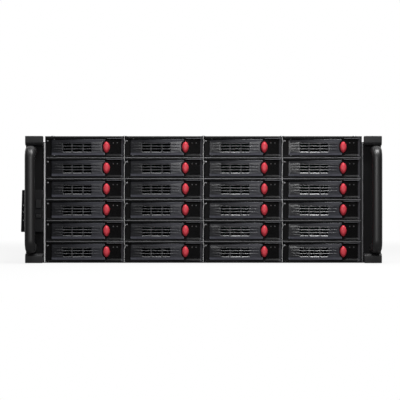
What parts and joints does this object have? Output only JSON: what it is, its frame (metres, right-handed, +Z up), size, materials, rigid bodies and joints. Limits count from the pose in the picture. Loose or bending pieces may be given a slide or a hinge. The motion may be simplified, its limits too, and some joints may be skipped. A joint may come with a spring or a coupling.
{
  "type": "rackmount server case",
  "caption": "Black rack case with rows of hot-swap drive trays across its front, each with a vented swing lever and a red release button, between rack ears with round grab handles.",
  "frame": {"origin": "middle of the underside in the rail plane, the plane of the rear faces of the rack ears", "axes": "+X to the right seen from the front, +Y to the back, +Z up"},
  "size_m": [0.4882, 0.6949, 0.172],
  "materials": {
    "black_paint": "fine matt powder coat",
    "handle_paint": "satin black paint",
    "zinc_steel": "zinc-plated sheet",
    "tray_plastic": "fine grained moulding",
    "red_plastic": "smooth moulding",
    "module_plastic": "fine grained moulding",
    "lamp_lens": "clear lens",
    "circuit_board": "solder mask",
    "fan_plastic": "glass-filled moulding",
    "brass_post": "turned"
  },
  "bodies": {
    "chassis": {"base_pan": "black_paint", "front_cover": "black_paint", "rear_panel": "black_paint", "slot_covers": "zinc_steel", "cage_dividers": "zinc_steel", "tray_shelves": "zinc_steel", "backplanes": "circuit_board", "fan_wall": "zinc_steel", "fan_frames": "fan_plastic", "board_standoffs": "brass_post", "left_ear": "black_paint", "right_ear": "black_paint", "grab_handles": "handle_paint", "control_module": "module_plastic", "status_lamps": "lamp_lens"},
    "lid": {"rear_lid": "black_paint"},
    "power_key": {"power_key": "module_plastic"},
    "reset_key": {"reset_key": "module_plastic"},
    "tray_r1c1": {"tray_r1c1": "tray_plastic"},
    "lever_r1c1": {"lever_r1c1": "tray_plastic"},
    "release_r1c1": {"release_r1c1": "red_plastic"},
    "tray_r1c2": {"tray_r1c2": "tray_plastic"},
    "lever_r1c2": {"lever_r1c2": "tray_plastic"},
    "release_r1c2": {"release_r1c2": "red_plastic"},
    "tray_r1c3": {"tray_r1c3": "tray_plastic"},
    "lever_r1c3": {"lever_r1c3": "tray_plastic"},
    "release_r1c3": {"release_r1c3": "red_plastic"},
    "tray_r1c4": {"tray_r1c4": "tray_plastic"},
    "lever_r1c4": {"lever_r1c4": "tray_plastic"},
    "release_r1c4": {"release_r1c4": "red_plastic"},
    "tray_r2c1": {"tray_r2c1": "tray_plastic"},
    "tray_r2c2": {"tray_r2c2": "tray_plastic"},
    "tray_r2c3": {"tray_r2c3": "tray_plastic"},
    "tray_r2c4": {"tray_r2c4": "tray_plastic"},
    "tray_r3c1": {"tray_r3c1": "tray_plastic"},
    "tray_r3c2": {"tray_r3c2": "tray_plastic"},
    "tray_r3c3": {"tray_r3c3": "tray_plastic"},
    "tray_r3c4": {"tray_r3c4": "tray_plastic"},
    "tray_r4c1": {"tray_r4c1": "tray_plastic"},
    "tray_r4c2": {"tray_r4c2": "tray_plastic"},
    "tray_r4c3": {"tray_r4c3": "tray_plastic"},
    "tray_r4c4": {"tray_r4c4": "tray_plastic"},
    "tray_r5c1": {"tray_r5c1": "tray_plastic"},
    "tray_r5c2": {"tray_r5c2": "tray_plastic"},
    "tray_r5c3": {"tray_r5c3": "tray_plastic"},
    "tray_r5c4": {"tray_r5c4": "tray_plastic"},
    "tray_r6c1": {"tray_r6c1": "tray_plastic"},
    "tray_r6c2": {"tray_r6c2": "tray_plastic"},
    "tray_r6c3": {"tray_r6c3": "tray_plastic"},
    "tray_r6c4": {"tray_r6c4": "tray_plastic"},
    "fan_rotor_1": {"fan_rotor_1": "fan_plastic"},
    "fan_rotor_2": {"fan_rotor_2": "fan_plastic"},
    "fan_rotor_3": {"fan_rotor_3": "fan_plastic"}
  },
  "joints": [
    {"name": "lever_swing_r1c1", "type": "hinge", "parent": "tray_r1c1", "child": "lever_r1c1", "pos_m": [-0.203, -0.003, 0.157], "axis": [0, 0, -1], "range_deg": [0, 60]},
    {"name": "lever_swing_r1c2", "type": "hinge", "parent": "tray_r1c2", "child": "lever_r1c2", "pos_m": [-0.0958, -0.003, 0.157], "axis": [0, 0, -1], "range_deg": [0, 60]},
    {"name": "lever_swing_r1c3", "type": "hinge", "parent": "tray_r1c3", "child": "lever_r1c3", "pos_m": [0.0114, -0.003, 0.157], "axis": [0, 0, -1], "range_deg": [0, 60]},
    {"name": "lever_swing_r1c4", "type": "hinge", "parent": "tray_r1c4", "child": "lever_r1c4", "pos_m": [0.1186, -0.003, 0.157], "axis": [0, 0, -1], "range_deg": [0, 60]},
    {"name": "release_press_r1c1", "type": "slide", "parent": "tray_r1c1", "child": "release_r1c1", "axis": [0, 1, 0], "range_m": [0, 0.0025], "stiffness_N_per_m": 400},
    {"name": "release_press_r1c2", "type": "slide", "parent": "tray_r1c2", "child": "release_r1c2", "axis": [0, 1, 0], "range_m": [0, 0.0025], "stiffness_N_per_m": 400},
    {"name": "release_press_r1c3", "type": "slide", "parent": "tray_r1c3", "child": "release_r1c3", "axis": [0, 1, 0], "range_m": [0, 0.0025], "stiffness_N_per_m": 400},
    {"name": "release_press_r1c4", "type": "slide", "parent": "tray_r1c4", "child": "release_r1c4", "axis": [0, 1, 0], "range_m": [0, 0.0025], "stiffness_N_per_m": 400},
    {"name": "lid_lift", "type": "slide", "parent": "chassis", "child": "lid", "axis": [0, 0, 1], "range_m": [0, 0.12]},
    {"name": "fan_spin_1", "type": "hinge", "parent": "chassis", "child": "fan_rotor_1", "pos_m": [-0.135, 0.246, 0.086], "axis": [0, 1, 0], "continuous": true},
    {"name": "fan_spin_2", "type": "hinge", "parent": "chassis", "child": "fan_rotor_2", "pos_m": [0, 0.246, 0.086], "axis": [0, 1, 0], "continuous": true},
    {"name": "fan_spin_3", "type": "hinge", "parent": "chassis", "child": "fan_rotor_3", "pos_m": [0.135, 0.246, 0.086], "axis": [0, 1, 0], "continuous": true},
    {"name": "power_press", "type": "slide", "parent": "chassis", "child": "power_key", "axis": [0, 1, 0], "range_m": [0, 0.0015], "stiffness_N_per_m": 400},
    {"name": "reset_press", "type": "slide", "parent": "chassis", "child": "reset_key", "axis": [0, 1, 0], "range_m": [0, 0.0015], "stiffness_N_per_m": 400},
    {"name": "tray_slide_r1c1", "type": "slide", "parent": "chassis", "child": "tray_r1c1", "axis": [0, -1, 0], "range_m": [0, 0.2]},
    {"name": "tray_slide_r1c2", "type": "slide", "parent": "chassis", "child": "tray_r1c2", "axis": [0, -1, 0], "range_m": [0, 0.2]},
    {"name": "tray_slide_r1c3", "type": "slide", "parent": "chassis", "child": "tray_r1c3", "axis": [0, -1, 0], "range_m": [0, 0.2]},
    {"name": "tray_slide_r1c4", "type": "slide", "parent": "chassis", "child": "tray_r1c4", "axis": [0, -1, 0], "range_m": [0, 0.2]},
    {"name": "tray_slide_r2c1", "type": "slide", "parent": "chassis", "child": "tray_r2c1", "axis": [0, -1, 0], "range_m": [0, 0.2]},
    {"name": "tray_slide_r2c2", "type": "slide", "parent": "chassis", "child": "tray_r2c2", "axis": [0, -1, 0], "range_m": [0, 0.2]},
    {"name": "tray_slide_r2c3", "type": "slide", "parent": "chassis", "child": "tray_r2c3", "axis": [0, -1, 0], "range_m": [0, 0.2]},
    {"name": "tray_slide_r2c4", "type": "slide", "parent": "chassis", "child": "tray_r2c4", "axis": [0, -1, 0], "range_m": [0, 0.2]},
    {"name": "tray_slide_r3c1", "type": "slide", "parent": "chassis", "child": "tray_r3c1", "axis": [0, -1, 0], "range_m": [0, 0.2]},
    {"name": "tray_slide_r3c2", "type": "slide", "parent": "chassis", "child": "tray_r3c2", "axis": [0, -1, 0], "range_m": [0, 0.2]},
    {"name": "tray_slide_r3c3", "type": "slide", "parent": "chassis", "child": "tray_r3c3", "axis": [0, -1, 0], "range_m": [0, 0.2]},
    {"name": "tray_slide_r3c4", "type": "slide", "parent": "chassis", "child": "tray_r3c4", "axis": [0, -1, 0], "range_m": [0, 0.2]},
    {"name": "tray_slide_r4c1", "type": "slide", "parent": "chassis", "child": "tray_r4c1", "axis": [0, -1, 0], "range_m": [0, 0.2]},
    {"name": "tray_slide_r4c2", "type": "slide", "parent": "chassis", "child": "tray_r4c2", "axis": [0, -1, 0], "range_m": [0, 0.2]},
    {"name": "tray_slide_r4c3", "type": "slide", "parent": "chassis", "child": "tray_r4c3", "axis": [0, -1, 0], "range_m": [0, 0.2]},
    {"name": "tray_slide_r4c4", "type": "slide", "parent": "chassis", "child": "tray_r4c4", "axis": [0, -1, 0], "range_m": [0, 0.2]},
    {"name": "tray_slide_r5c1", "type": "slide", "parent": "chassis", "child": "tray_r5c1", "axis": [0, -1, 0], "range_m": [0, 0.2]},
    {"name": "tray_slide_r5c2", "type": "slide", "parent": "chassis", "child": "tray_r5c2", "axis": [0, -1, 0], "range_m": [0, 0.2]},
    {"name": "tray_slide_r5c3", "type": "slide", "parent": "chassis", "child": "tray_r5c3", "axis": [0, -1, 0], "range_m": [0, 0.2]},
    {"name": "tray_slide_r5c4", "type": "slide", "parent": "chassis", "child": "tray_r5c4", "axis": [0, -1, 0], "range_m": [0, 0.2]},
    {"name": "tray_slide_r6c1", "type": "slide", "parent": "chassis", "child": "tray_r6c1", "axis": [0, -1, 0], "range_m": [0, 0.2]},
    {"name": "tray_slide_r6c2", "type": "slide", "parent": "chassis", "child": "tray_r6c2", "axis": [0, -1, 0], "range_m": [0, 0.2]},
    {"name": "tray_slide_r6c3", "type": "slide", "parent": "chassis", "child": "tray_r6c3", "axis": [0, -1, 0], "range_m": [0, 0.2]},
    {"name": "tray_slide_r6c4", "type": "slide", "parent": "chassis", "child": "tray_r6c4", "axis": [0, -1, 0], "range_m": [0, 0.2]}
  ]
}
